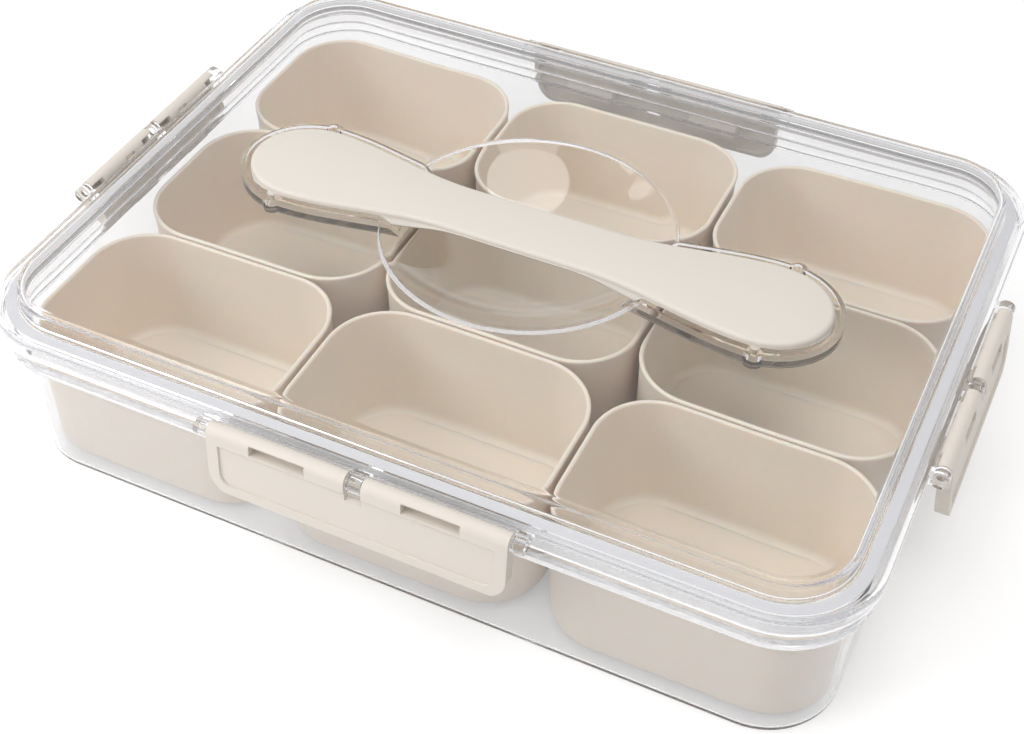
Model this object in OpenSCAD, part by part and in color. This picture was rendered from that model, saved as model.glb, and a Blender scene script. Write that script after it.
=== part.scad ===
// Clear lidded serving box with nine lift-out cups and four hinged snap latches.
// Millimetres. +X runs along the box, -Y is the front, +Z is up.
// The origin is the centre of the box's underside.

/* [Cups] */
// Length of a cup over its rim
cup_len = 98.2; // [90:0.1:110]
// Width of a cup over its rim
cup_wid = 71.3; // [64:0.1:82]
// Height of a cup
cup_h = 49; // [43:0.5:58]
// Radius of a cup's rim corners in plan
cup_corner_r = 23; // [21:0.5:28]
// How far a cup's wall leans in from its rim to its foot
cup_draft = 0.8; // [0.4:0.1:5]
// Radius of a cup's rounded bottom edge
cup_edge_r = 4.5; // [3:0.5:14]
// Wall of a cup
cup_wall = 1.3; // [1:0.1:2]
// Floor of a cup
cup_floor = 1.6; // [1.2:0.1:2.5]
// Width of a cup's rounded rim bead
cup_bead = 1.7; // [1.4:0.1:2.4]
// Gap between neighbouring cups along the box
cup_gap_x = 1.8; // [0.8:0.1:4]
// Gap between neighbouring cups across the box
cup_gap_y = 0.8; // [0.6:0.1:4]
// Room between the end cups and the box's wall
cup_room_x = 1.5; // [1.2:0.1:5]
// Room between the front and back cups and the box's wall
cup_room_y = 4.5; // [1.5:0.1:6]

/* [Base box] */
// Wall of the box
box_wall = 2; // [1.6:0.1:3]
// Floor of the box
box_floor = 2.2; // [1.6:0.1:3]
// Radius of the box's corners in plan, at its lip
box_corner_r = 27; // [26:0.5:34]
// Radius of the box's rounded bottom edge
box_edge_r = 4.5; // [3.5:0.5:8]
// How far the box's wall leans in from its lip to its foot
box_draft = 1.2; // [0.2:0.1:2]
// Height of the box's lip above the cup rims
headroom = 12.1; // [10:0.1:20]
// How far the rim band stands out of the wall
rim_out = 3.5; // [2.5:0.1:4]
// Height of the rim band
rim_h = 9; // [7:0.1:10]
// Depth of the groove along the rim band
rim_groove = 0.9; // [0.4:0.1:1.4]

/* [Lid] */
// Wall of the lid
lid_wall = 2; // [1.6:0.1:2.6]
// Height of the lid's raised top above its flange
lid_rise = 7.4; // [6:0.1:10]
// How far the raised top's wall stands in from the box's outer face
lid_inset = 3.7; // [3.3:0.1:5]
// Radius of the raised top's edge
lid_edge_r = 3; // [2.2:0.1:4]
// How far the flange stands out of the box's outer face
flange_out = 5; // [4.6:0.1:7]
// Radius of the flange's outer edge
flange_edge_r = 1.8; // [1:0.1:1.9]
// Height of the skirt from the flange's top face
skirt_h = 6.2; // [5:0.1:6.4]
// Thickness of the skirt
skirt_wall = 1.8; // [1.4:0.1:2.4]
// Gap between the skirt and the box's rim band
skirt_gap = 0.3; // [0.2:0.1:0.8]
// How deep the plug rib reaches below the box's lip
plug_depth = 4.5; // [3:0.1:8]
// Wall of the plug rib
plug_wall = 1.6; // [1.2:0.1:2.2]
// Gap between the plug rib and the box's wall
plug_gap = 0.9; // [0.5:0.1:1.2]

/* [Seal] */
// Height of the seal ring
seal_h = 1.5; // [1:0.1:2.5]
// How far the seal ring reaches past the lip's outer face
seal_out = 0.9; // [0.5:0.1:1.6]
// Gap on each side of the seal ring in its channel
seal_gap = 0.1; // [0.05:0.05:0.3]

/* [Finger bowl] */
// Radius of the finger bowl at the lid's top face
bowl_r = 52.5; // [45:0.5:56]
// Depth of the finger bowl
bowl_depth = 21.5; // [16:0.5:24]
// Radius of the finger bowl's rounded rim
bowl_edge_r = 3; // [1:0.5:4]

/* [Grip bar] */
// Length of the grip bar over its tips
bar_len = 223.2; // [205:0.2:235]
// Half the bar's width at its waist
bar_waist = 11.9; // [9:0.1:14]
// Half the bar's width at its end lobes
bar_lobe = 20.2; // [17:0.1:22]
// Length of the rounded tip of a lobe
bar_tip = 22.6; // [17:0.2:26]
// Thickness of the bar at its middle
bar_mid_t = 3.4; // [2.6:0.1:4.5]
// How far the bar stands proud of the lid
bar_proud = 0.6; // [0.2:0.1:3]
// Radius of the bar's upper edge
bar_edge_r = 1.6; // [0.8:0.1:2.2]
// Depth of the two pockets that hold the bar's ends
pocket_depth = 5.6; // [5:0.1:8]
// Gap between the bar's sides and its pockets
pocket_gap = 1.8; // [1:0.1:3]
// Distance from the bar's tip to the clips at its sides
clip_in = 19.5; // [17:0.5:24]

/* [Latches] */
// Length of the front and back latches
long_latch = 106; // [90:1:130]
// Length of the left and right latches
short_latch = 80; // [70:1:100]
// Radius of the latch's hinge roll
roll_r = 3.1; // [2.9:0.1:3.6]
// Gap between the hinge roll and the lid's skirt
roll_gap = 0.5; // [0.3:0.1:1.5]
// Depth of the hinge axis below the flange's top face
hinge_drop = 2.2; // [1.8:0.1:3.2]
// How much lower the back latch and its hinge sit than the other three
back_low = 3.5; // [0:0.1:4]
// Drop of the latch from its hinge axis to its lower edge
flap_drop = 23.6; // [21:0.1:28]
// How far the latch's lower edge stands out past its hinge roll
flap_lean = 2.2; // [0:0.1:4]
// Thickness of the latch over its border
flap_t = 4.5; // [4:0.1:5.5]
// Thickness of the latch's panel
panel_t = 2; // [1.4:0.1:2.4]
// Width of the latch's raised border
border_w = 4.2; // [3:0.1:6]
// Depth of the panel below the border
border_step = 0.6; // [0.3:0.1:0.9]
// Radius of the latch's lower corners
flap_corner_r = 9; // [6:0.5:10]
// Length of a long latch's windows
window_len = 20; // [14:0.5:22]
// Length of a short latch's windows
short_window_len = 13; // [9:0.5:15]
// Height of a latch's windows
window_h = 3.8; // [2.5:0.1:4.5]
// How far the windows' middle lies below the hinge axis
window_drop = 0.3; // [0:0.1:0.6]
// Distance from the long latch's middle to its windows' centres
window_x = 27; // [24:0.5:28]
// Distance from the short latch's middle to its windows' centres
short_window_x = 17.3; // [16:0.1:20]
// Thickness of the roll's wall behind a window
window_back = 1.2; // [0.8:0.1:2]
// Radius of the hinge pins
pin_r = 1.5; // [1.2:0.05:1.8]
// Running clearance of the hinge pins
pin_gap = 0.05; // [0.02:0.01:0.09]
// How far a hinge pin reaches into the latch
pin_reach = 5.5; // [3:0.5:6.5]
// Room past the end of a hinge pin
pin_room = 0.6; // [0.3:0.1:1.5]
// Width of the slots the hinge pins are pressed in through
pin_slot = 2.2; // [1.6:0.1:2.4]
// Width of the lid's middle knuckle
knuckle_w = 5.2; // [4:0.1:7]
// Width of the lid's end lugs
lug_w = 4.2; // [3:0.1:7]
// Side gap between the latches and the lid's lugs
lug_gap = 0.4; // [0.3:0.1:0.8]
// How far the latch's hooks bite under the rim band
hook_bite = 1.4; // [1:0.1:2]
// Gap between the hooks and the rim band
hook_gap = 0.3; // [0.3:0.1:0.8]
// Thickness of a hook
hook_t = 2.4; // [2:0.1:3.5]

/* [Hidden] */
$fn = 96;

clear = [0.86, 0.88, 0.92, 0.35];
beige = [0.90, 0.86, 0.81];
silicone = [0.93, 0.93, 0.94];

// A hair that makes cuts run past the faces they open
over = 0.5;
// Angle between the points of a rounded section
arc_step = 10;

// The cups' grid
pitch_x = cup_len + cup_gap_x;
pitch_y = cup_wid + cup_gap_y;
cup_top = box_floor + cup_h;

// Half the box's outer length and width at its lip
half_x = cup_len / 2 + pitch_x + cup_room_x + box_wall;
half_y = cup_wid / 2 + pitch_y + cup_room_y + box_wall;

// Heights of the box and the lid above the underside
lip_z = cup_top + headroom;
channel_z = lip_z + seal_h;
flange_z = channel_z + lid_wall;
top_z = flange_z + lid_rise;
skirt_z = flange_z - skirt_h;
rim_top = skirt_z - skirt_gap;
rim_z = rim_top - rim_h;

// The hinge axes
axis_out = flange_out + roll_gap + roll_r;
axis_z = flange_z - hinge_drop;

// The plan outline grown by d: a rectangle with its corners rounded
module plan(hx, hy, r) {
    square([2 * hx, 2 * (hy - r)], center = true);
    square([2 * (hx - r), 2 * hy], center = true);
    for (sx = [-1, 1], sy = [-1, 1])
        translate([sx * (hx - r), sy * (hy - r)])
            circle(r);
}

module plate(hx, hy, r, z, t) {
    translate([0, 0, z])
        linear_extrude(t)
            plan(hx, hy, r);
}

// Carries a section round the plan outline. In the section, x is the distance
// out from the outline and y is the height.
module carry_round(hx, hy, r) {
    for (k = [0 : 3]) {
        sx = (k == 0 || k == 3) ? 1 : -1;
        sy = (k < 2) ? 1 : -1;
        translate([sx * (hx - r), sy * (hy - r), 0])
            rotate(k * 90)
                rotate_extrude(angle = 90)
                    translate([r, 0])
                        children();
    }
    for (turn = [0, 180])
        rotate(turn) {
            translate([hx, hy - r, 0])
                rotate([90, 0, 0])
                    linear_extrude(2 * (hy - r))
                        children();
            translate([r - hx, hy, 0])
                rotate([90, 0, 90])
                    linear_extrude(2 * (hx - r))
                        children();
        }
}

// The points of an arc in a section
function arc(cx, cy, r, from, to) =
    let (n = ceil(abs(to - from) / arc_step))
    [for (i = [0 : n]) let (a = from + (to - from) * i / n) [cx + r * cos(a), cy + r * sin(a)]];

// ---------------------------------------------------------------- base box

module base_box() {
    foot = -box_draft;
    inner_r = box_edge_r - box_wall;
    groove_z = rim_z + rim_h / 2;
    groove_w = rim_h / 6;
    bead_r = 1;
    color(clear)
        union() {
            carry_round(half_x, half_y, box_corner_r)
                polygon(concat(
                    [[foot - box_edge_r, 0]],
                    arc(foot - box_edge_r, box_edge_r, box_edge_r, -90, 0),
                    [[0, rim_z]],
                    arc(rim_out - bead_r, rim_z + bead_r, bead_r, -90, 0),
                    [[rim_out, groove_z - groove_w],
                     [rim_out - rim_groove, groove_z],
                     [rim_out, groove_z + groove_w]],
                    arc(rim_out - bead_r, rim_top - bead_r, bead_r, 0, 90),
                    [[0, rim_top], [0, lip_z], [-box_wall, lip_z]],
                    arc(foot - box_edge_r, box_floor + inner_r, inner_r, 0, -90)));
            plate(half_x + foot - box_edge_r, half_y + foot - box_edge_r,
                  box_corner_r + foot - box_edge_r, 0, box_floor);
        }
}

// --------------------------------------------------------------------- lid

// Half the width of the grip bar's plan outline at the distance x from its middle
waist_end = 28;
lobe_x = bar_len / 2 - bar_tip;
function ease(t) = t <= 0 ? 0 : t >= 1 ? 1 : t * t * (3 - 2 * t);
function bar_half(x) =
    bar_waist + (bar_lobe - bar_waist) * ease((x - waist_end) / (lobe_x - waist_end));

// A quarter of the bar's outline, grown by gap: round the lobe's tip first, and
// then along the side to the middle
tip_steps = 10;
side_steps = 22;
function quarter(gap) = concat(
    [for (i = [0 : tip_steps - 1]) let (a = 90 * i / tip_steps)
        [lobe_x + (bar_tip + gap) * cos(a), (bar_lobe + gap) * sin(a)]],
    [for (i = [0 : side_steps]) let (x = lobe_x * (1 - i / side_steps))
        [x, bar_half(x) + gap]]);
function half_loop(q) = concat(q, [for (i = [len(q) - 2 : -1 : 0]) [-q[i][0], q[i][1]]]);
function loop(h) = concat(h, [for (i = [len(h) - 2 : -1 : 1]) [h[i][0], -h[i][1]]]);

// The bar's outline away from the finger bowl's middle, for the two pockets
pocket_from = 0.74 * bowl_r;
module pocket_plan(gap) {
    difference() {
        polygon(loop(half_loop(quarter(gap))));
        square([2 * pocket_from, 4 * bar_lobe], center = true);
    }
}

// Where the lid's clips hold the bar's ends
clip_x = bar_len / 2 - clip_in;
clip_y = bar_lobe + pocket_gap;
clip_r = 1.6;
module clip_plan(r) {
    for (sx = [-1, 1], sy = [-1, 1])
        translate([sx * clip_x, sy * clip_y])
            circle(r, $fn = 32);
}

bowl_sphere_r = (bowl_r * bowl_r + bowl_depth * bowl_depth) / (2 * bowl_depth);
bowl_centre_z = top_z - bowl_depth + bowl_sphere_r;

// The points of the bowl's section, for a ball of the radius r, out to the angle reach
bowl_steps = 16;
function bowl_curve(r, reach) =
    [for (i = [0 : bowl_steps]) let (a = reach * i / bowl_steps)
        [r * sin(a), bowl_centre_z - r * cos(a)]];

// The bowl's outside, a solid cap of a ball up to the lid's top face
module bowl_body() {
    r = bowl_sphere_r + lid_wall;
    rotate_extrude()
        polygon(concat([[0, top_z]], bowl_curve(r, acos((bowl_centre_z - top_z) / r))));
}

// The bowl's hollow, with its rounded rim
module bowl_hollow() {
    far = bowl_sphere_r + bowl_edge_r;
    drop = bowl_centre_z - top_z + bowl_edge_r;
    rim_x = sqrt(far * far - drop * drop);
    turn = asin(rim_x / far);
    rotate_extrude()
        polygon(concat(
            [[0, top_z + over]],
            bowl_curve(bowl_sphere_r, turn),
            arc(rim_x, top_z - bowl_edge_r, bowl_edge_r, 90 + turn, 90),
            [[rim_x, top_z + over]]));
}

module lid_shell() {
    top_d = -lid_inset;
    foot_r = 1.2;
    plug_d = -box_wall - plug_gap;
    fence_d = seal_out + seal_gap;
    fence_w = 1.1;
    fence_z = lip_z + 0.3 * seal_h;
    carry_round(half_x, half_y, box_corner_r)
        polygon(concat(
            arc(top_d - lid_edge_r, top_z - lid_edge_r, lid_edge_r, 90, 0),
            arc(top_d + foot_r, flange_z + foot_r, foot_r, 180, 270),
            arc(flange_out - flange_edge_r, flange_z - flange_edge_r, flange_edge_r, 90, 0),
            [[flange_out, skirt_z],
             [flange_out - skirt_wall, skirt_z],
             [flange_out - skirt_wall, channel_z],
             [fence_d + fence_w, channel_z],
             [fence_d + fence_w, fence_z],
             [fence_d, fence_z],
             [fence_d, channel_z],
             [plug_d, channel_z],
             [plug_d, lip_z - plug_depth],
             [plug_d - plug_wall, lip_z - plug_depth],
             [plug_d - plug_wall, channel_z],
             [top_d - lid_wall, channel_z]],
            arc(top_d - lid_edge_r, top_z - lid_edge_r, lid_edge_r - lid_wall, 0, 90)));
    plate(half_x + top_d - lid_edge_r, half_y + top_d - lid_edge_r,
          box_corner_r + top_d - lid_edge_r, top_z - lid_wall, lid_wall);
}

// From where to where the hinge pins run in a latch of the length l: one from each end
// lug and one through the middle knuckle, with room at their ends
function pin_runs(l, room) =
    let (mid = knuckle_w / 2 + lug_gap + pin_reach + room,
         inner = l / 2 - pin_reach - room,
         outer = l / 2 + lug_gap + over)
    [[-outer, -inner], [-mid, mid], [inner, outer]];

// The hinge pins on the axis along X, grown by gap all round
module pins(l, gap, room) {
    for (run = pin_runs(l, room))
        translate([run[0], 0, 0])
            rotate([0, 90, 0])
                cylinder(r = pin_r + gap, h = run[1] - run[0]);
}

// A round lug on the axis from x on, with the arm that joins it to the skirt. Low is how
// much lower than on the other sides the axis sits, and the arm ends at the skirt's edge
module lug(x, w, low) {
    lug_r = roll_r - 0.2;
    arm_low = min(lug_r - 0.8, axis_z - low - skirt_z);
    arm_high = lug_r - 1.4;
    bury = skirt_wall / 2;
    translate([x, 0, 0])
        rotate([0, 90, 0])
            cylinder(r = lug_r, h = w);
    translate([x, 0, -arm_low])
        cube([w, roll_r + roll_gap + bury, arm_low + arm_high]);
}

module hinge_parts(l, low) {
    lug_x = l / 2 + lug_gap;
    pins(l, 0, 0);
    lug(-lug_x - lug_w, lug_w, low);
    lug(-knuckle_w / 2, knuckle_w, low);
    lug(lug_x, lug_w, low);
}

// Puts what is made on the front hinge axis on each of the four sides
module at_front() { translate([0, -half_y - axis_out, axis_z]) children(); }
module at_back() { translate([0, 0, -back_low]) rotate(180) at_front() children(); }
module at_right() { translate([half_x + axis_out, 0, axis_z]) rotate(90) children(); }
module at_left() { rotate(180) at_right() children(); }

module lid() {
    pocket_z = top_z - pocket_depth;
    color(clear)
        union() {
            difference() {
                union() {
                    lid_shell();
                    bowl_body();
                    translate([0, 0, pocket_z - lid_wall])
                        linear_extrude(pocket_depth + lid_wall) {
                            pocket_plan(pocket_gap + lid_wall);
                            clip_plan(clip_r + lid_wall);
                        }
                }
                bowl_hollow();
                translate([0, 0, pocket_z])
                    linear_extrude(pocket_depth + over) {
                        pocket_plan(pocket_gap);
                        clip_plan(clip_r);
                    }
            }
            at_front() hinge_parts(long_latch, 0);
            at_back() hinge_parts(long_latch, back_low);
            at_right() hinge_parts(short_latch, 0);
            at_left() hinge_parts(short_latch, 0);
        }
}

module seal_ring() {
    inner = -box_wall - plug_gap + seal_gap;
    color(silicone)
        carry_round(half_x, half_y, box_corner_r)
            polygon([[inner, lip_z], [seal_out, lip_z],
                     [seal_out, channel_z], [inner, channel_z]]);
}

// ---------------------------------------------------------------- grip bar

bar_top = top_z + bar_proud;
bar_foot = top_z - pocket_depth;
arch_end = 0.9 * bowl_r;
arch_from = 0.4 * bowl_r;

// Height of the bar's underside at the distance x from its middle
function under(x) =
    let (mid = bar_top - bar_mid_t)
    mid + (bar_foot - mid) * ease((abs(x) - arch_from) / (arch_end - arch_from));

// The bar's skin, as rings of the outline drawn in by a distance at each height.
// A ring is [drawn in, up from the underside, down from the top]
foot_r = 0.8;
foot_rings = 3;
ring_steps = 4;
bar_rings = concat(
    [for (i = [0 : foot_rings - 1]) let (a = 45 * i) [foot_r * (1 - sin(a)), foot_r * (1 - cos(a)), 0]],
    [for (i = [0 : ring_steps]) let (a = 90 * i / ring_steps)
        [bar_edge_r * (1 - cos(a)), 0, bar_edge_r * (1 - sin(a))]]);

module handle_bar() {
    n_half = len(half_loop(quarter(0)));
    n = 2 * n_half - 2;
    rings = len(bar_rings);
    points = [for (k = [0 : rings - 1]) for (p = loop(half_loop(quarter(-bar_rings[k][0]))))
        [p[0], p[1], k < foot_rings ? under(p[0]) + bar_rings[k][1] : bar_top - bar_rings[k][2]]];
    sides = [for (k = [0 : rings - 2]) for (i = [0 : n - 1])
        let (a = k * n + i, b = k * n + (i + 1) % n)
        each [[a, a + n, b], [b, a + n, b + n]]];
    last = (rings - 1) * n;
    // strips from the outline's one side to its other close the top and the underside
    ends = [for (i = [0 : n_half - 2])
        let (a = i, b = i + 1, c = (n - i) % n, d = n - i - 1)
        each concat(
            i == 0 ? [[a, b, d]] : i == n_half - 2 ? [[a, b, c]] : [[a, b, c], [b, d, c]],
            i == 0 ? [[last + a, last + d, last + b]]
                : i == n_half - 2 ? [[last + a, last + c, last + b]]
                : [[last + a, last + c, last + b], [last + b, last + c, last + d]])];
    color(beige)
        polyhedron(points, concat(sides, ends), convexity = 4);
}

// ----------------------------------------------------------------- latches

// Distance out of the latch's outer face, from the axis, at the height z
function face(z) = roll_r + flap_lean * (-z) / flap_drop;

// The latch's section with the thickness t behind its outer face, drawn in by inset:
// x is out of the box and y is up, both from the hinge axis
module flap_section(t, inset) {
    r = 1.4;
    out = face(-flap_drop) - inset;
    back = face(-flap_drop) - t;
    polygon(concat(
        [[face(0) - inset, 0]],
        arc(out - r, -flap_drop + r, r, 0, -90),
        arc(back + r, -flap_drop + r, r, -90, -180),
        [[face(0) - t, 0]]));
}

// Runs a section along X, with its x axis pointing to the front
module along_x(l) {
    translate([-l / 2, 0, 0])
        rotate([90, 0, 90])
            linear_extrude(l)
                mirror([1, 0])
                    children();
}

// The latch's face outline, drawn in by inset, as a cutter that runs front to back
module face_outline(l, inset, top) {
    hx = l / 2 - inset;
    r = flap_corner_r - inset;
    foot = -flap_drop + inset;
    reach = 30;
    translate([0, reach / 2, 0])
        rotate([90, 0, 0])
            linear_extrude(reach) {
                translate([-hx, foot + r])
                    square([2 * hx, top - foot - r]);
                translate([-hx + r, foot])
                    square([2 * (hx - r), top - foot]);
                for (side = [-1, 1])
                    translate([side * (hx - r), foot + r])
                        circle(r);
            }
}

// A latch of the length l whose windows are opening long and window from its middle. Low is
// how much lower than on the other sides its axis sits: its hooks stay under the rim band
module latch(l, window, opening, low) {
    panel_back = border_step + panel_t;
    notch_w = knuckle_w + 2 * lug_gap;
    notch_drop = 2 * roll_r;
    core_w = 5;
    reach = 4 * roll_r;
    hook_top = rim_z - hook_gap - (axis_z - low);
    hook_in = -axis_out + rim_out - hook_bite;
    slot_turn = 25;
    color(beige)
        difference() {
            union() {
                intersection() {
                    along_x(l) {
                        circle(roll_r);
                        flap_section(flap_t, 0);
                    }
                    face_outline(l, 0, 2 * roll_r);
                }
                // the hooks that catch under the rim band
                for (side = [-1, 1])
                    translate([side * window, 0, 0])
                        along_x(opening)
                            polygon([[hook_in, hook_top],
                                     [face(hook_top) - panel_back + over, hook_top],
                                     [face(hook_top) - panel_back + over, hook_top - 2 * hook_t],
                                     [hook_in, hook_top - hook_t]]);
            }
            // the step down from the border to the panel
            intersection() {
                along_x(l)
                    polygon([[face(0) - border_step, 0],
                             [face(0) + over, 0],
                             [face(-flap_drop) + over, -flap_drop],
                             [face(-flap_drop) - border_step, -flap_drop]]);
                face_outline(l, border_w, -roll_r);
            }
            // the hollow behind the panel
            difference() {
                intersection() {
                    along_x(l)
                        polygon([[face(0) - flap_t - over, 0],
                                 [face(0) - panel_back, 0],
                                 [face(-flap_drop) - panel_back, -flap_drop],
                                 [face(-flap_drop) - flap_t - over, -flap_drop]]);
                    face_outline(l, panel_t, -roll_r);
                }
                for (side = [-1, 1])
                    translate([side * window, 0, 0])
                        along_x(opening)
                            polygon([[hook_in - over, hook_top],
                                     [face(0), hook_top],
                                     [face(0), hook_top - 2 * hook_t],
                                     [hook_in - over, hook_top - hook_t]]);
            }
            // the windows into the roll, with the small openings behind them
            for (side = [-1, 1])
                translate([side * window, 0, -window_drop]) {
                    translate([-opening / 2, -reach, -window_h / 2])
                        cube([opening, reach + roll_r - window_back, window_h]);
                    translate([-core_w / 2, 0, 0])
                        cube([core_w, reach, window_h / 2]);
                }
            // the notch round the lid's middle knuckle
            translate([-notch_w / 2, -reach, -notch_drop])
                cube([notch_w, 2 * reach, notch_drop + reach]);
            // the bores for the hinge pins, and the slots that open them to the lid's side
            pins(l, pin_gap, pin_room);
            rotate([slot_turn, 0, 0])
                for (run = pin_runs(l, pin_room))
                    translate([run[0], 0, -pin_slot / 2])
                        cube([run[1] - run[0], 2 * roll_r, pin_slot]);
        }
}

module latch_front() { at_front() latch(long_latch, window_x, window_len, 0); }
module latch_back() { at_back() latch(long_latch, window_x, window_len, back_low); }
module latch_left() { at_left() latch(short_latch, short_window_x, short_window_len, 0); }
module latch_right() { at_right() latch(short_latch, short_window_x, short_window_len, 0); }

// -------------------------------------------------------------------- cups

// One cup, in the column i and the row j of the grid, counted from the middle
module cup(i, j) {
    lean = atan(cup_draft / cup_h);
    centre_d = -cup_draft - cup_edge_r * (1 - sin(lean)) / cos(lean);
    inner_r = cup_edge_r - cup_wall;
    bead_r = cup_bead / 2;
    bead_z = cup_h - bead_r;
    neck_d = -cup_bead / 4;
    neck_z = cup_h - 2.4 * cup_bead;
    color(beige)
        translate([i * pitch_x, j * pitch_y, box_floor])
            union() {
                carry_round(cup_len / 2, cup_wid / 2, cup_corner_r)
                    polygon(concat(
                        [[centre_d, 0]],
                        arc(centre_d, cup_edge_r, cup_edge_r, -90, -lean),
                        [[neck_d, neck_z]],
                        arc(-bead_r, bead_z, bead_r, 0, 180),
                        [[neck_d - cup_wall, neck_z]],
                        arc(centre_d, cup_edge_r, inner_r, -lean, -80),
                        [[centre_d, cup_floor]]));
                plate(cup_len / 2 + centre_d, cup_wid / 2 + centre_d,
                      cup_corner_r + centre_d, 0, cup_floor);
            }
}

base_box();
lid();
seal_ring();
handle_bar();
latch_front();
latch_back();
latch_left();
latch_right();
cup(-1, -1);  // cup_front_left
cup(0, -1);  // cup_front_middle
cup(1, -1);  // cup_front_right
cup(-1, 0);  // cup_middle_left
cup(0, 0);  // cup_centre
cup(1, 0);  // cup_middle_right
cup(-1, 1);  // cup_back_left
cup(0, 1);  // cup_back_middle
cup(1, 1);  // cup_back_right
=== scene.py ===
"""Looks of the clear serving box with lift-out cups, snap latches and a grip bar.

Laid out as a Blender add-on and run as a script. Lengths are in metres, +X runs along
the box, -Y is its front and +Z is up. The origin is the centre of the underside.
"""

import math

import bpy
from mathutils import Matrix, Vector

bl_info = {
    "name": "Serving Box",
    "version": (1, 0, 0),
    "blender": (4, 5, 0),
    "location": "View3D > Sidebar > Serving Box",
    "description": "Dresses the clear serving box, its cups, latches and grip bar",
    "category": "Object",
}

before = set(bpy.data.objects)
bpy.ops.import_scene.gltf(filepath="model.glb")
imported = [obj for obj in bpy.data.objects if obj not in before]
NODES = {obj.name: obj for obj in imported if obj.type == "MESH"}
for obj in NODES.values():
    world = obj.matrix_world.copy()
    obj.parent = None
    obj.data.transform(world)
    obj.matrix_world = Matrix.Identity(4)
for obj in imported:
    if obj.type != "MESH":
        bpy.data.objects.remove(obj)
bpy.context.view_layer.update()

MM = 0.001
PANEL = "Serving Box"
GRAIN = "Moulded grain"
FLOW = "Clear plastic flow"
SMOOTHING = "Smooth moulded faces"
WHITE = (1.0, 1.0, 1.0, 1.0)

# Edges that turn more than TRUE_EDGE stay crisp or are softened. Faces that turn less
# than WHOLE_FLAT are one flat, and corners closer than ONE_CORNER are one corner. Softened
# edges have EDGE_SEGMENTS steps, or EDGE_SAMPLES looks round where the shader rounds them.
TRUE_EDGE = math.radians(32)
WHOLE_FLAT = math.radians(0.2)
ONE_CORNER = 0.002 * MM
EDGE_SEGMENTS = 3
EDGE_SAMPLES = 6

# Satin plastic: how far the mottle turns the colour to its shade, how much the grain adds
# to the roughness, the shares of both in the height, and each shade as a part of its colour.
MOTTLE_DEPTH = 0.35
GRAIN_ROUGHNESS = 0.08
MOTTLE_HEIGHT = 0.6
GRAIN_HEIGHT = 0.4
CREAM_SHADE = 0.93
SILICONE_SHADE = 0.9

# Clear plastic: noise scales of the ripples, how narrow the smudges are, and how far they
# take the tint away.
BOX_RIPPLE = 9.0
LID_RIPPLE = 12.0
SMEAR_POWER = 4.0
SMEAR_PALENESS = 0.5

# Each lamp's name, shape, place, size and power.
LAMPS = (
    ("Overhead softbox", "ELLIPSE", (0.1, -0.2, 1.27), (0.9, 0.9), 5.0),
    ("Left strip", "ELLIPSE", (-1.2, -0.2, 0.87), (0.3, 0.45), 0.6),
    ("Front fill", "RECTANGLE", (-0.55, -0.55, 0.5), (0.55, 0.4), 2.7),
)

# The floor lies FLOOR_DROP under the box. Its glow rises between two distances from the
# box's centre, and GLOW_THROUGH is the share of it that shows through clear plastic.
FLOOR_DROP = 0.05 * MM
FLOOR_TONE = (0.9, 0.9, 0.9, 1.0)
GLOW_NEAR = 0.4
GLOW_FAR = 2.2
GLOW_THROUGH = 0.2

# The rows of the camera's turn, its sensor in millimetres and its picture's shift.
CAMERA_TURN = (
    (0.903582, -0.304992, 0.300864),
    (0.428331, 0.62922, -0.648548),
    (0.008492, 0.714886, 0.69919),
)
SENSOR = 36.0
CAMERA_SHIFT = (-0.014921, -0.004042)


def colour(name, description, default):
    """A colour property for the sidebar."""
    return bpy.props.FloatVectorProperty(
        name=name,
        description=description,
        default=default,
        subtype="COLOR",
        size=3,
        min=0.0,
        max=1.0,
    )


def share(name, description, default):
    """A property that runs from 0 to 1."""
    return bpy.props.FloatProperty(
        name=name,
        description=description,
        default=default,
        min=0.0,
        max=1.0,
        subtype="FACTOR",
    )


# ------------------------------------------------------------------ settings


class ClearPlasticSettings(bpy.types.PropertyGroup):
    """The clear plastic of the box and of its lid"""

    tint: colour("Tint", "Colour of light that passes the plastic", (0.985, 0.987, 0.992))
    window: colour("Window", "Colour of lamp light that a face lets in", (0.975, 0.976, 0.98))
    # Painted shade: this share darkens the box's tint, so the floor and cup sides seen through its
    # walls look shaded. It also dims the lamp light the box lets in.
    box_shade: share("Thick", "How much less light the box's thicker walls let in", 0.07)
    haze: share("Haze", "Roughness of the plastic where it is cleanest", 0.01)
    smudge: share("Smudge", "How much rougher the plastic gets in its faint smudges", 0.04)
    refraction: bpy.props.FloatProperty(
        name="Refraction", description="Index of refraction", default=1.49, min=1.0, max=2.0
    )
    milk: colour("Milk", "Colour of light trapped between many faces", (0.90, 0.91, 0.95))
    veil: share("Veil", "Share of the box's faces that scatters like a faint scuff", 0.07)
    mirrored: bpy.props.IntProperty(
        name="Mirrored",
        description="Reflections after which light counts as trapped",
        default=3,
        min=1,
    )
    passed: bpy.props.IntProperty(
        name="Passed",
        description="Faces in all after which light counts as trapped",
        default=8,
        min=2,
    )


class CreamPlasticSettings(bpy.types.PropertyGroup):
    """The cream plastic of the cups, latches and grip bar"""

    bar: colour("Grip bar", "Colour of the grip bar", (0.80, 0.745, 0.675))
    latch: colour("Latches", "Colour of the four latches", (0.80, 0.735, 0.665))
    cup: colour("Cups", "Colour of the nine cups", (0.865, 0.778, 0.674))
    glow: share("Cup glow", "How much light passes through the cups' thin walls", 0.5)
    gloss: share("Roughness", "Roughness of the satin surface", 0.42)
    edge: bpy.props.FloatProperty(
        name="Edge", description="Width of the softened edges", default=0.45 * MM, unit="LENGTH"
    )


class SealSettings(bpy.types.PropertyGroup):
    """The soft seal ring"""

    silicone: colour("Silicone", "Colour of the seal ring", (0.80, 0.80, 0.82))


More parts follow.
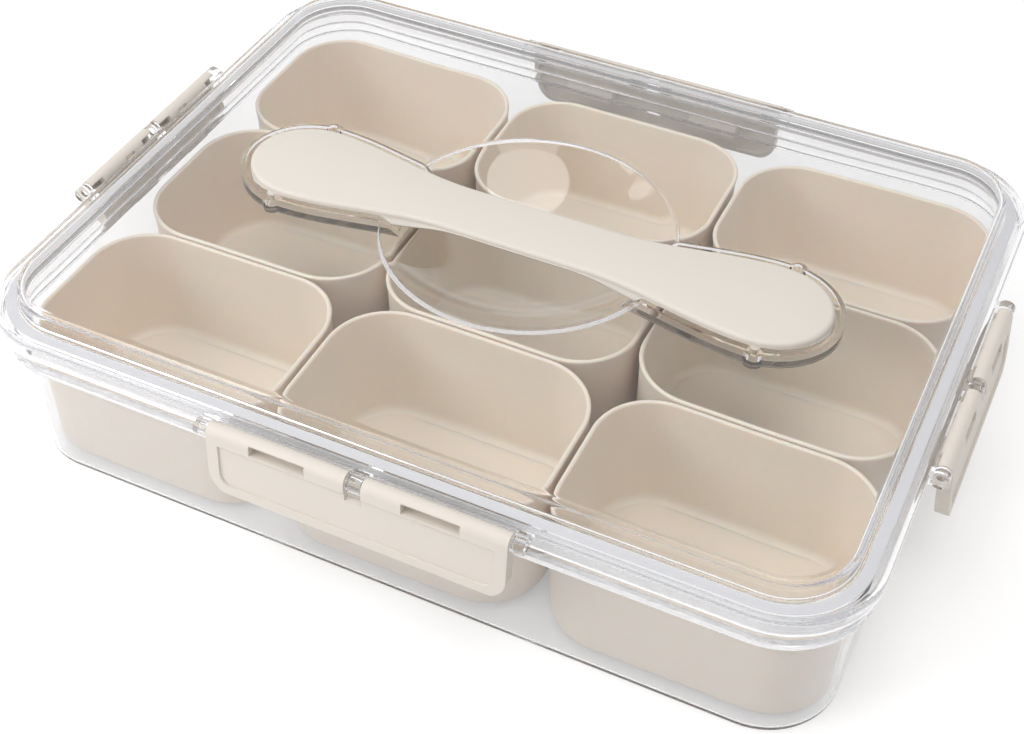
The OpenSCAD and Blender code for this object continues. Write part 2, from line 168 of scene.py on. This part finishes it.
class StageSettings(bpy.types.PropertyGroup):
    """Floor, light and camera"""

    floor_size: bpy.props.FloatProperty(
        name="Floor", description="Length of the floor's side", default=8.0, unit="LENGTH"
    )
    lens: bpy.props.FloatProperty(
        name="Lens", description="Focal length of the camera", default=55.9916, min=10.0
    )
    camera_place: bpy.props.FloatVectorProperty(
        name="Camera",
        description="Where the camera stands",
        default=(0.1828043, -0.3935748, 0.4326149),
        subtype="TRANSLATION",
        unit="LENGTH",
    )
    horizon: share("Horizon", "Strength of the room's light from the sides", 0.46)
    zenith: share("Zenith", "Strength of the room's light from above", 0.6)
    lift: share("Floor lift", "Glow that brings the floor up to white for the eye", 0.3)
    far_lift: share("Far floor lift", "The same glow where the floor is far from the lamps", 0.7)


# ----------------------------------------------------------------- materials


def new_group(name, inputs, outputs):
    """A shader node group with its two end nodes, which are None where it is built already."""
    found = bpy.data.node_groups.get(name)
    if found:
        return found, None, None
    group = bpy.data.node_groups.new(name, "ShaderNodeTree")
    for label, kind, default in inputs:
        socket = group.interface.new_socket(label, in_out="INPUT", socket_type=kind)
        socket.default_value = default
    for label, kind in outputs:
        group.interface.new_socket(label, in_out="OUTPUT", socket_type=kind)
    return group, group.nodes.new("NodeGroupInput"), group.nodes.new("NodeGroupOutput")


def maths(tree, operation, a, b):
    """A Math node. Each of a and b is a number or a socket."""
    node = tree.nodes.new("ShaderNodeMath")
    node.operation = operation
    for socket, value in zip(node.inputs, (a, b)):
        if isinstance(value, (int, float)):
            socket.default_value = value
        else:
            tree.links.new(value, socket)
    return node.outputs[0]


def noise(tree, place, scale, detail, roughness):
    """A Noise Texture's value, in the piece's own coordinates."""
    node = tree.nodes.new("ShaderNodeTexNoise")
    tree.links.new(place, node.inputs["Vector"])
    node.inputs["Scale"].default_value = scale
    node.inputs["Detail"].default_value = detail
    node.inputs["Roughness"].default_value = roughness
    return node.outputs["Fac"]


def blend_colours(tree, amount, first, second):
    """A colour that runs from first to second. Each is a colour or a socket."""
    node = tree.nodes.new("ShaderNodeMix")
    node.data_type = "RGBA"
    sockets = (node.inputs["Factor"], node.inputs[6], node.inputs[7])
    for socket, value in zip(sockets, (amount, first, second)):
        if hasattr(value, "is_linked"):
            tree.links.new(value, socket)
        else:
            socket.default_value = value
    return node.outputs[2]


def scaled(tone, part):
    """A part of the colour, with full alpha."""
    return (*(part * c for c in tone), 1.0)


def grain_group():
    """The faint mottle and fine grain of satin moulded plastic."""
    group, start, end = new_group(
        GRAIN,
        (
            ("Colour", "NodeSocketColor", (0.8, 0.8, 0.8, 1.0)),
            ("Shade", "NodeSocketColor", (0.7, 0.7, 0.7, 1.0)),
            ("Mottle size", "NodeSocketFloat", 60.0),
            ("Grain size", "NodeSocketFloat", 2500.0),
            ("Roughness", "NodeSocketFloat", 0.4),
        ),
        (
            ("Colour", "NodeSocketColor"),
            ("Roughness", "NodeSocketFloat"),
            ("Height", "NodeSocketFloat"),
        ),
    )
    if start is None:
        return group
    place = group.nodes.new("ShaderNodeTexCoord").outputs["Object"]
    mottle = group.nodes.new("ShaderNodeTexNoise")
    fine = group.nodes.new("ShaderNodeTexNoise")
    for node, size in ((mottle, "Mottle size"), (fine, "Grain size")):
        group.links.new(place, node.inputs["Vector"])
        group.links.new(start.outputs[size], node.inputs["Scale"])
        node.inputs["Detail"].default_value = 3.0
    mask = maths(group, "MULTIPLY", mottle.outputs["Fac"], MOTTLE_DEPTH)
    tone = blend_colours(group, mask, start.outputs["Colour"], start.outputs["Shade"])
    speckle = maths(group, "MULTIPLY", fine.outputs["Fac"], GRAIN_ROUGHNESS)
    rough = maths(group, "ADD", start.outputs["Roughness"], speckle)
    wave = maths(group, "MULTIPLY", mottle.outputs["Fac"], MOTTLE_HEIGHT)
    grit = maths(group, "MULTIPLY", fine.outputs["Fac"], GRAIN_HEIGHT)
    height = maths(group, "ADD", wave, grit)
    for label, value in (("Colour", tone), ("Roughness", rough), ("Height", height)):
        group.links.new(value, end.inputs[label])
    return group


def flow_group():
    """The slow ripples and faint smudges of clear moulded plastic."""
    group, start, end = new_group(
        FLOW,
        (
            ("Tint", "NodeSocketColor", (0.97, 0.97, 0.98, 1.0)),
            ("Haze", "NodeSocketFloat", 0.02),
            ("Smudge", "NodeSocketFloat", 0.05),
            ("Ripple size", "NodeSocketFloat", 12.0),
        ),
        (
            ("Tint", "NodeSocketColor"),
            ("Roughness", "NodeSocketFloat"),
            ("Height", "NodeSocketFloat"),
        ),
    )
    if start is None:
        return group
    place = group.nodes.new("ShaderNodeTexCoord").outputs["Object"]
    ripple = group.nodes.new("ShaderNodeTexNoise")
    group.links.new(place, ripple.inputs["Vector"])
    group.links.new(start.outputs["Ripple size"], ripple.inputs["Scale"])
    ripple.inputs["Detail"].default_value = 1.0
    wipe = noise(group, place, scale=28.0, detail=4.0, roughness=0.6)
    smear = maths(group, "POWER", wipe, SMEAR_POWER)
    smear = maths(group, "MULTIPLY", smear, start.outputs["Smudge"])
    rough = maths(group, "ADD", start.outputs["Haze"], smear)
    paler = maths(group, "MULTIPLY", wipe, SMEAR_PALENESS)
    cool = blend_colours(group, paler, start.outputs["Tint"], WHITE)
    for label, value in (("Tint", cool), ("Roughness", rough), ("Height", ripple.outputs["Fac"])):
        group.links.new(value, end.inputs[label])
    return group


def new_material(name):
    """A new material with its tree and its Principled shader."""
    found = bpy.data.materials.get(name)
    if found:
        bpy.data.materials.remove(found)
    material = bpy.data.materials.new(name)
    material.use_nodes = True
    tree = material.node_tree
    return material, tree, tree.nodes["Principled BSDF"]


def place_group(tree, group, **values):
    """The group as a node in this tree, with its own values. Underscores stand for spaces."""
    node = tree.nodes.new("ShaderNodeGroup")
    node.node_tree = group
    for label, value in values.items():
        node.inputs[label.replace("_", " ")].default_value = value
    return node


def bump(tree, shader, height, strength, distance, edge=0.0):
    """Feeds the shader's normal from a height, over edges rounded to the radius edge."""
    node = tree.nodes.new("ShaderNodeBump")
    if edge:
        rounding = tree.nodes.new("ShaderNodeBevel")
        rounding.samples = EDGE_SAMPLES
        rounding.inputs["Radius"].default_value = edge
        tree.links.new(rounding.outputs["Normal"], node.inputs["Normal"])
    node.inputs["Strength"].default_value = strength
    node.inputs["Distance"].default_value = distance
    tree.links.new(height, node.inputs["Height"])
    tree.links.new(node.outputs["Normal"], shader.inputs["Normal"])


def mix_shaders(tree, amount, first, second):
    """A shader that runs from first to second as amount goes from 0 to 1."""
    node = tree.nodes.new("ShaderNodeMixShader")
    for socket, value in zip(node.inputs, (amount, first, second)):
        tree.links.new(value, socket)
    return node.outputs[0]


def clear_plastic(name, ripple, veil=0.0, box_shade=0.0):
    """Clear plastic that lets the lamps' light in, and turns milky where light is trapped."""
    look = bpy.context.scene.serving_box_clear
    material, tree, shader = new_material(name)
    flow = place_group(
        tree,
        flow_group(),
        # The tint is darkened by the box's share of painted shade, standing in for the shade
        # inside the box.
        Tint=scaled(look.tint, 1 - box_shade),
        Haze=look.haze,
        Smudge=look.smudge,
        Ripple_size=ripple,
    )
    tree.links.new(flow.outputs["Tint"], shader.inputs["Base Color"])
    tree.links.new(flow.outputs["Roughness"], shader.inputs["Roughness"])
    shader.inputs["Transmission Weight"].default_value = 1.0
    shader.inputs["IOR"].default_value = look.refraction
    bump(tree, shader, flow.outputs["Height"], strength=0.15, distance=0.3 * MM)
    path = tree.nodes.new("ShaderNodeLightPath")
    near = tree.nodes.new("ShaderNodeBsdfDiffuse")
    far = tree.nodes.new("ShaderNodeBsdfTranslucent")
    milk = tree.nodes.new("ShaderNodeMixShader")
    for socket, half in zip(milk.inputs[1:], (near, far)):
        half.inputs["Color"].default_value = (*look.milk, 1.0)
        tree.links.new(half.outputs[0], socket)
    window = tree.nodes.new("ShaderNodeBsdfTransparent")
    window.inputs["Color"].default_value = scaled(look.window, 1 - box_shade)
    mirrored = maths(tree, "GREATER_THAN", path.outputs["Glossy Depth"], look.mirrored - 0.5)
    passed = maths(tree, "GREATER_THAN", path.outputs["Ray Depth"], look.passed - 0.5)
    trapped = maths(tree, "MAXIMUM", mirrored, passed)
    scatter = maths(tree, "MAXIMUM", trapped, veil)
    body = mix_shaders(tree, scatter, shader.outputs[0], milk.outputs[0])
    body = mix_shaders(tree, path.outputs["Is Diffuse Ray"], body, window.outputs[0])
    body = mix_shaders(tree, path.outputs["Is Shadow Ray"], body, window.outputs[0])
    tree.links.new(body, tree.nodes["Material Output"].inputs["Surface"])
    return material


def satin_plastic(name, tone, edge=0.0, glow=0.0):
    """Satin cream plastic, with edges rounded to the radius edge and a glow in thin walls."""
    look = bpy.context.scene.serving_box_cream
    material, tree, shader = new_material(name)
    grain = place_group(
        tree,
        grain_group(),
        Colour=(*tone, 1.0),
        Shade=scaled(tone, CREAM_SHADE),
        Mottle_size=55.0,
        Grain_size=2200.0,
        Roughness=look.gloss,
    )
    tree.links.new(grain.outputs["Colour"], shader.inputs["Base Color"])
    tree.links.new(grain.outputs["Roughness"], shader.inputs["Roughness"])
    shader.inputs["IOR"].default_value = 1.47
    shader.inputs["Subsurface Weight"].default_value = glow
    shader.inputs["Subsurface Radius"].default_value = (1.0, 0.55, 0.3)
    shader.inputs["Subsurface Scale"].default_value = 2.0 * MM
    bump(tree, shader, grain.outputs["Height"], strength=0.1, distance=0.06 * MM, edge=edge)
    return material


def soft_silicone(name, tone):
    """Milky silicone rubber."""
    material, tree, shader = new_material(name)
    grain = place_group(
        tree,
        grain_group(),
        Colour=(*tone, 1.0),
        Shade=scaled(tone, SILICONE_SHADE),
        Mottle_size=90.0,
        Grain_size=1500.0,
        Roughness=0.5,
    )
    tree.links.new(grain.outputs["Colour"], shader.inputs["Base Color"])
    tree.links.new(grain.outputs["Roughness"], shader.inputs["Roughness"])
    shader.inputs["Sheen Weight"].default_value = 0.15
    bump(tree, shader, grain.outputs["Height"], strength=0.2, distance=0.1 * MM)
    return material


def smoothing_group():
    """Joins a mesh's split corners and shades it smooth, but for its true edges."""
    found = bpy.data.node_groups.get(SMOOTHING)
    if found:
        return found
    tree = bpy.data.node_groups.new(SMOOTHING, "GeometryNodeTree")
    tree.is_modifier = True
    tree.interface.new_socket("Mesh", in_out="INPUT", socket_type="NodeSocketGeometry")
    tree.interface.new_socket("Mesh", in_out="OUTPUT", socket_type="NodeSocketGeometry")
    start = tree.nodes.new("NodeGroupInput")
    plain = tree.nodes.new("GeometryNodeRemoveAttribute")
    plain.inputs["Name"].default_value = "custom_normal"
    joined = tree.nodes.new("GeometryNodeMergeByDistance")
    joined.inputs["Distance"].default_value = ONE_CORNER
    angle = tree.nodes.new("GeometryNodeInputMeshEdgeAngle")
    gentle = tree.nodes.new("FunctionNodeCompare")
    gentle.operation = "LESS_THAN"
    gentle.inputs["B"].default_value = TRUE_EDGE
    faces = tree.nodes.new("GeometryNodeSetShadeSmooth")
    faces.domain = "FACE"
    edges = tree.nodes.new("GeometryNodeSetShadeSmooth")
    edges.domain = "EDGE"
    end = tree.nodes.new("NodeGroupOutput")
    tree.links.new(start.outputs[0], plain.inputs["Geometry"])
    tree.links.new(plain.outputs["Geometry"], joined.inputs["Geometry"])
    tree.links.new(joined.outputs["Geometry"], faces.inputs["Geometry"])
    tree.links.new(faces.outputs["Geometry"], edges.inputs["Geometry"])
    tree.links.new(angle.outputs["Unsigned Angle"], gentle.inputs["A"])
    tree.links.new(gentle.outputs["Result"], edges.inputs["Shade Smooth"])
    tree.links.new(edges.outputs["Geometry"], end.inputs[0])
    return tree


def wear(node, material, edge=0.0):
    """Gives a CAD node one material, and softens its edges if a width is given."""
    piece = NODES[node]
    piece.data.materials.clear()
    piece.data.materials.append(material)
    smooth = piece.modifiers.new("Smooth faces", "NODES")
    smooth.node_group = smoothing_group()
    if edge:
        flats = piece.modifiers.new("Whole flats", "DECIMATE")
        flats.decimate_type = "DISSOLVE"
        flats.angle_limit = WHOLE_FLAT
        soft = piece.modifiers.new("Soft edges", "BEVEL")
        soft.width = edge
        soft.segments = EDGE_SEGMENTS
        soft.limit_method = "ANGLE"
        soft.angle_limit = TRUE_EDGE
        soft.use_clamp_overlap = False
        soft.harden_normals = True


# ------------------------------------------------------------------- pieces


class SERVINGBOX_OT_base_box(bpy.types.Operator):
    """Dress the clear box"""

    bl_idname = "servingbox.base_box"
    bl_label = "Base box"

    def execute(self, context):
        look = context.scene.serving_box_clear
        # The box's tint carries its share of painted shade.
        material = clear_plastic("Clear box plastic", BOX_RIPPLE, look.veil, look.box_shade)
        wear("base_box", material)
        return {"FINISHED"}


class SERVINGBOX_OT_lid(bpy.types.Operator):
    """Dress the clear lid with its finger bowl and hinge lugs"""

    bl_idname = "servingbox.lid"
    bl_label = "Lid"

    def execute(self, context):
        wear("lid", clear_plastic("Clear lid plastic", LID_RIPPLE))
        return {"FINISHED"}


class SERVINGBOX_OT_seal(bpy.types.Operator):
    """Dress the seal ring"""

    bl_idname = "servingbox.seal"
    bl_label = "Seal ring"

    def execute(self, context):
        look = context.scene.serving_box_seal
        wear("seal_ring", soft_silicone("Milky silicone", look.silicone))
        return {"FINISHED"}


class SERVINGBOX_OT_grip_bar(bpy.types.Operator):
    """Dress the grip bar"""

    bl_idname = "servingbox.grip_bar"
    bl_label = "Grip bar"

    def execute(self, context):
        look = context.scene.serving_box_cream
        wear("handle_bar", satin_plastic("Cream bar plastic", look.bar), 2 * look.edge)
        return {"FINISHED"}


class SERVINGBOX_OT_latches(bpy.types.Operator):
    """Dress the four snap latches"""

    bl_idname = "servingbox.latches"
    bl_label = "Latches"

    def execute(self, context):
        look = context.scene.serving_box_cream
        material = satin_plastic("Cream latch plastic", look.latch, look.edge)
        for node in sorted(NODES):
            if node.startswith("latch_"):
                wear(node, material)
        return {"FINISHED"}


class SERVINGBOX_OT_cups(bpy.types.Operator):
    """Dress the nine cups"""

    bl_idname = "servingbox.cups"
    bl_label = "Cups"

    def execute(self, context):
        look = context.scene.serving_box_cream
        material = satin_plastic("Cream cup plastic", look.cup, glow=look.glow)
        for node in sorted(NODES):
            if node.startswith("cup_"):
                wear(node, material)
        return {"FINISHED"}


# -------------------------------------------------------------------- stage


def lamp(name, shape, place, size, power):
    """A soft flat lamp that looks at the box."""
    data = bpy.data.lights.new(name, "AREA")
    data.shape = shape
    data.size, data.size_y = size
    data.energy = power
    holder = bpy.data.objects.new(name, data)
    bpy.context.scene.collection.objects.link(holder)
    holder.location = place
    holder.rotation_euler = (-Vector(place)).to_track_quat("-Z", "Y").to_euler()


class SERVINGBOX_OT_stage(bpy.types.Operator):
    """Set up the floor, the soft light and the camera"""

    bl_idname = "servingbox.stage"
    bl_label = "Stage"

    def execute(self, context):
        scene = context.scene
        look = scene.serving_box_stage
        self.floor(look.floor_size / 2, look.lift, look.far_lift)
        self.world(look.horizon, look.zenith)
        for row in LAMPS:
            lamp(*row)
        self.camera(look)
        scene.view_settings.view_transform = "Standard"
        return {"FINISHED"}

    def floor(self, half, lift, far_lift):
        """A pale floor that the eye sees as white, and that keeps the box's shadow."""
        mesh = bpy.data.meshes.new("Floor")
        corners = ((-half, -half, 0), (half, -half, 0), (half, half, 0), (-half, half, 0))
        mesh.from_pydata(corners, (), ((0, 1, 2, 3),))
        floor = bpy.data.objects.new("Floor", mesh)
        floor.location.z = -FLOOR_DROP
        bpy.context.scene.collection.objects.link(floor)
        material, tree, shader = new_material("Pale floor")
        shader.inputs["Base Color"].default_value = FLOOR_TONE
        shader.inputs["Roughness"].default_value = 0.9
        shader.inputs["Specular IOR Level"].default_value = 0.0
        glow = tree.nodes.new("ShaderNodeEmission")
        path = tree.nodes.new("ShaderNodeLightPath")
        seen = maths(tree, "MAXIMUM", path.outputs["Is Camera Ray"], path.outputs["Is Glossy Ray"])
        through = maths(tree, "MULTIPLY", path.outputs["Is Transmission Ray"], GLOW_THROUGH)
        seen = maths(tree, "MAXIMUM", seen, through)
        away = tree.nodes.new("ShaderNodeVectorMath")
        away.operation = "LENGTH"
        place = tree.nodes.new("ShaderNodeTexCoord").outputs["Object"]
        tree.links.new(place, away.inputs[0])
        rise = tree.nodes.new("ShaderNodeMapRange")
        rise.interpolation_type = "SMOOTHSTEP"
        rise.inputs["From Min"].default_value = GLOW_NEAR
        rise.inputs["From Max"].default_value = GLOW_FAR
        rise.inputs["To Min"].default_value = lift
        rise.inputs["To Max"].default_value = far_lift
        tree.links.new(away.outputs["Value"], rise.inputs["Value"])
        strength = maths(tree, "MULTIPLY", seen, rise.outputs["Result"])
        tree.links.new(strength, glow.inputs["Strength"])
        add = tree.nodes.new("ShaderNodeAddShader")
        tree.links.new(shader.outputs[0], add.inputs[0])
        tree.links.new(glow.outputs[0], add.inputs[1])
        tree.links.new(add.outputs[0], tree.nodes["Material Output"].inputs["Surface"])
        mesh.materials.append(material)

    def world(self, horizon, zenith):
        """A soft room, brighter above, that the eye sees as white."""
        world = bpy.data.worlds.new("Studio")
        bpy.context.scene.world = world
        world.use_nodes = True
        tree = world.node_tree
        sky = tree.nodes["Background"]
        sky.inputs["Color"].default_value = WHITE
        split = tree.nodes.new("ShaderNodeSeparateXYZ")
        place = tree.nodes.new("ShaderNodeTexCoord").outputs["Generated"]
        tree.links.new(place, split.inputs[0])
        height = maths(tree, "MAXIMUM", split.outputs["Z"], 0.0)
        rise = maths(tree, "MULTIPLY", height, zenith - horizon)
        room = maths(tree, "ADD", horizon, rise)
        path = tree.nodes.new("ShaderNodeLightPath")
        seen = maths(
            tree, "MAXIMUM", path.outputs["Is Camera Ray"], path.outputs["Is Transmission Ray"]
        )
        level = maths(tree, "MAXIMUM", room, seen)
        tree.links.new(level, sky.inputs["Strength"])

    def camera(self, look):
        """The camera that shows the box from its front and right."""
        data = bpy.data.cameras.new("Camera")
        data.lens = look.lens
        data.sensor_width = SENSOR
        data.shift_x, data.shift_y = CAMERA_SHIFT
        camera = bpy.data.objects.new("Camera", data)
        bpy.context.scene.collection.objects.link(camera)
        turn = Matrix(CAMERA_TURN).to_4x4()
        camera.matrix_world = Matrix.Translation(look.camera_place) @ turn
        bpy.context.scene.camera = camera


class SERVINGBOX_PT_panel(bpy.types.Panel):
    """Lists the pieces of the serving box"""

    bl_idname = "SERVINGBOX_PT_panel"
    bl_label = PANEL
    bl_space_type = "VIEW_3D"
    bl_region_type = "UI"
    bl_category = PANEL

    def draw(self, context):
        scene = context.scene
        for title, group in (
            ("Clear plastic", scene.serving_box_clear),
            ("Cream plastic", scene.serving_box_cream),
            ("Seal", scene.serving_box_seal),
            ("Stage", scene.serving_box_stage),
        ):
            box = self.layout.box()
            box.label(text=title)
            for key in group.__annotations__:
                box.prop(group, key)
        for operator in OPERATORS:
            self.layout.operator(operator.bl_idname)


# --------------------------------------------------------------- add-on parts

SETTINGS = {
    "serving_box_clear": ClearPlasticSettings,
    "serving_box_cream": CreamPlasticSettings,
    "serving_box_seal": SealSettings,
    "serving_box_stage": StageSettings,
}
OPERATORS = (
    SERVINGBOX_OT_base_box,
    SERVINGBOX_OT_lid,
    SERVINGBOX_OT_seal,
    SERVINGBOX_OT_grip_bar,
    SERVINGBOX_OT_latches,
    SERVINGBOX_OT_cups,
    SERVINGBOX_OT_stage,
)
CLASSES = (*SETTINGS.values(), *OPERATORS, SERVINGBOX_PT_panel)


def register():
    for cls in CLASSES:
        bpy.utils.register_class(cls)
    for name, cls in SETTINGS.items():
        setattr(bpy.types.Scene, name, bpy.props.PointerProperty(type=cls))


def unregister():
    for name in SETTINGS:
        delattr(bpy.types.Scene, name)
    for cls in reversed(CLASSES):
        bpy.utils.unregister_class(cls)


def main():
    register()
    for operator in OPERATORS:
        family, action = operator.bl_idname.split(".")
        getattr(getattr(bpy.ops, family), action)()


if __name__ == "__main__":
    main()
